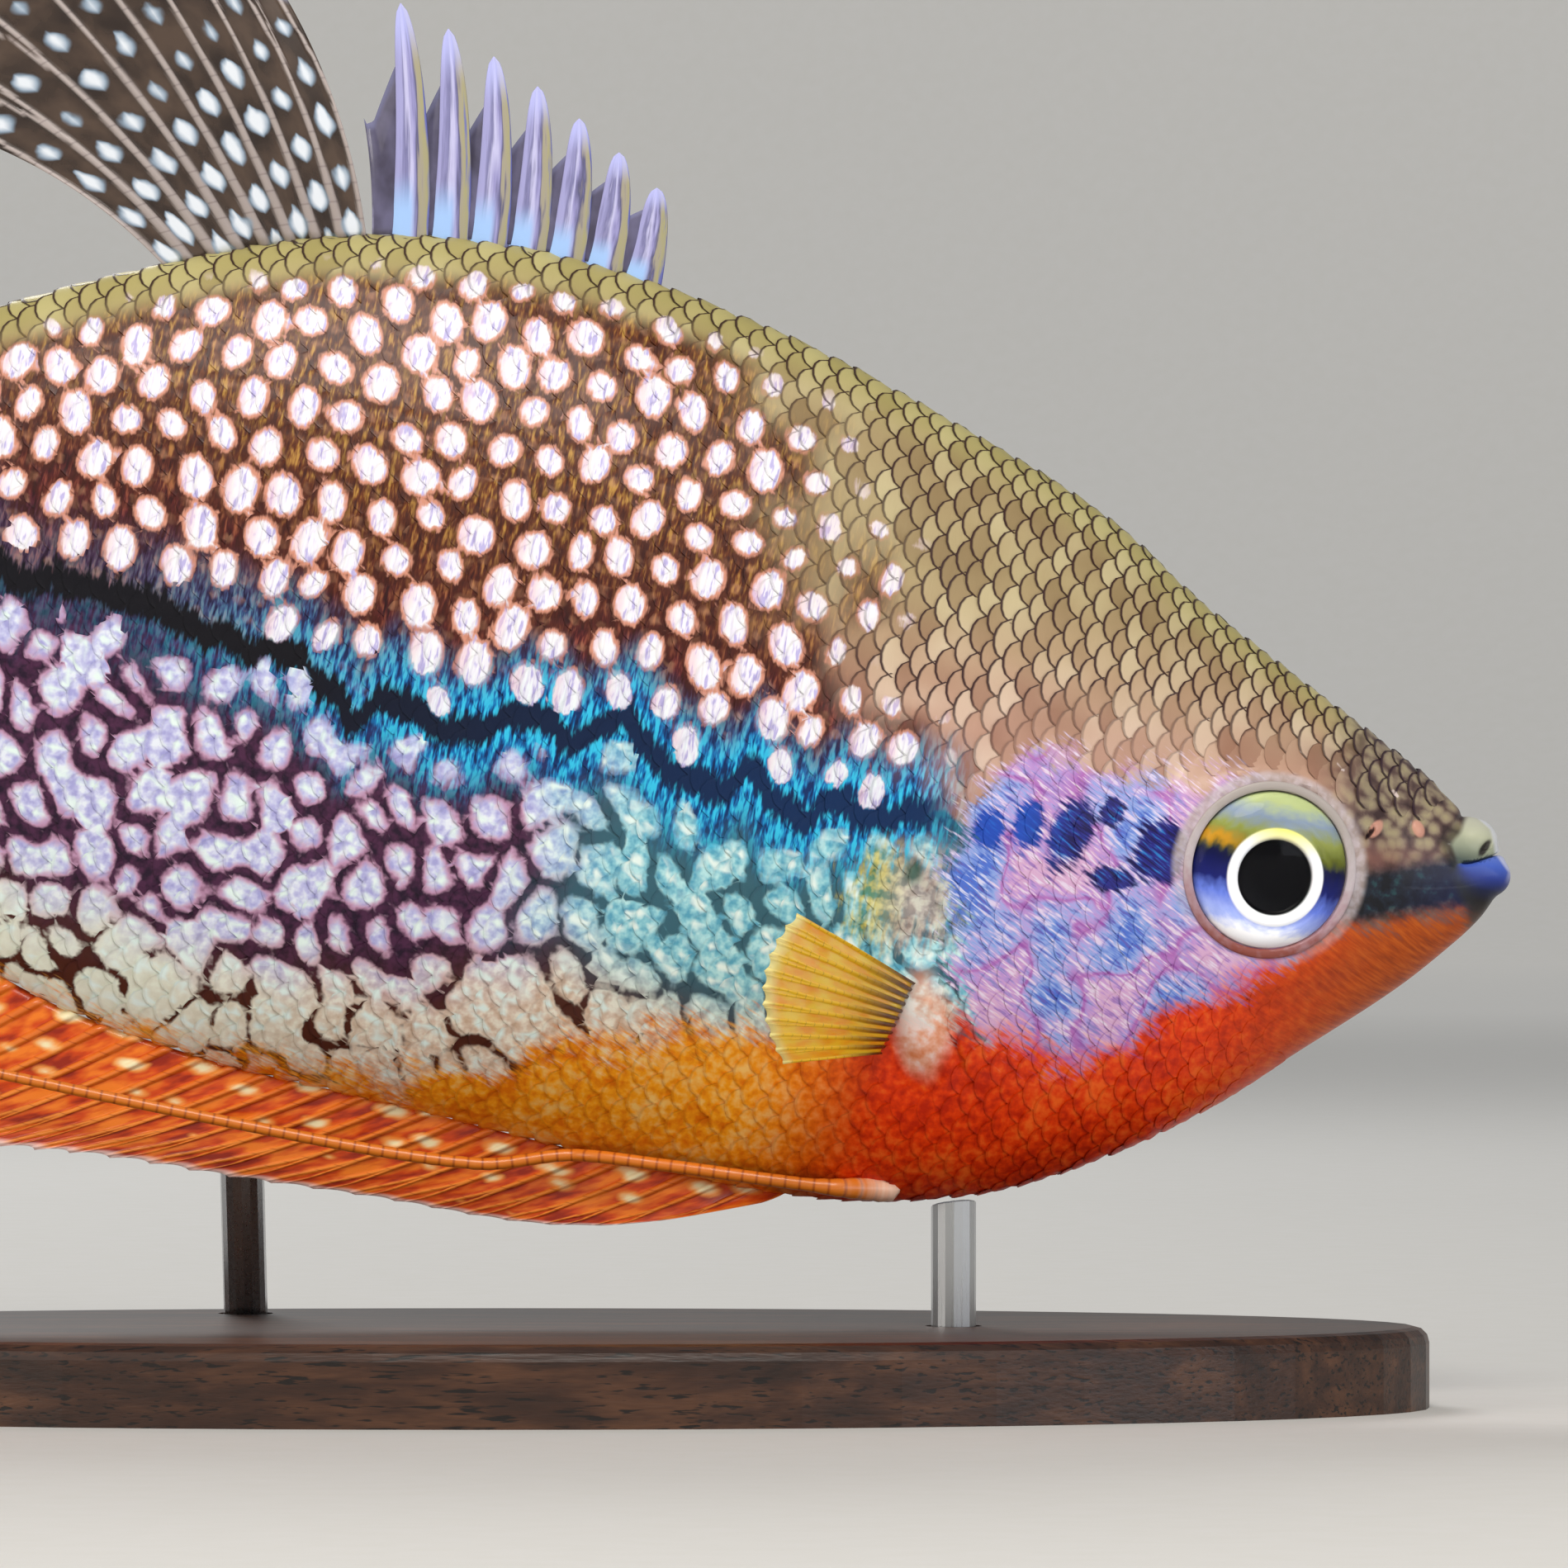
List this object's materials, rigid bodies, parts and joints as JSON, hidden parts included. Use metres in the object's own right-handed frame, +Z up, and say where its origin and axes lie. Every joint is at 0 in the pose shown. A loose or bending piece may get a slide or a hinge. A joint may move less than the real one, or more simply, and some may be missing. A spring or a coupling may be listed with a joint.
{
  "type": "pearl gourami display model",
  "caption": "Life-size still model of a deep-bodied freshwater aquarium fish with threadlike pelvic fins, swimming nose slightly down on a small display stand.",
  "frame": {"origin": "centre of the stand base's flat underside, on the surface the model stands on", "axes": "+X towards the fish's head, +Y towards its left side, +Z up"},
  "size_m": [0.1182, 0.042, 0.0825],
  "materials": {
    "head_skin": "moist olive-brown fish skin",
    "jaw_skin": "moist blue-grey lip skin",
    "gill_cover_skin": "pearly lilac skin over bone",
    "eye": "wet, clear and glossy",
    "body_skin": "scaled skin with white pearls on a brown net",
    "dorsal_fin": "translucent membrane between rays",
    "anal_fin": "orange-red membrane between rays",
    "tail_fin": "spotted translucent membrane between rays",
    "pectoral_fin": "clear yellow membrane between rays",
    "pelvic_fin": "orange thread",
    "stand_base": "dark oiled hardwood",
    "stand_rod": "satin stainless steel"
  },
  "bodies": {
    "root": {"head": "head_skin", "jaw": "jaw_skin", "gill_cover_right": "gill_cover_skin", "gill_cover_left": "gill_cover_skin", "eye_right": "eye", "eye_left": "eye", "trunk": "body_skin", "tail_stalk": "body_skin", "dorsal_fin": "dorsal_fin", "anal_fin": "anal_fin", "tail_fin": "tail_fin", "pectoral_fin_right": "pectoral_fin", "pectoral_fin_left": "pectoral_fin", "pelvic_fin_right": "pelvic_fin", "pelvic_fin_left": "pelvic_fin", "stand_base": "stand_base", "stand_rod_front": "stand_rod", "stand_rod_rear": "stand_rod"}
  },
  "joints": []
}
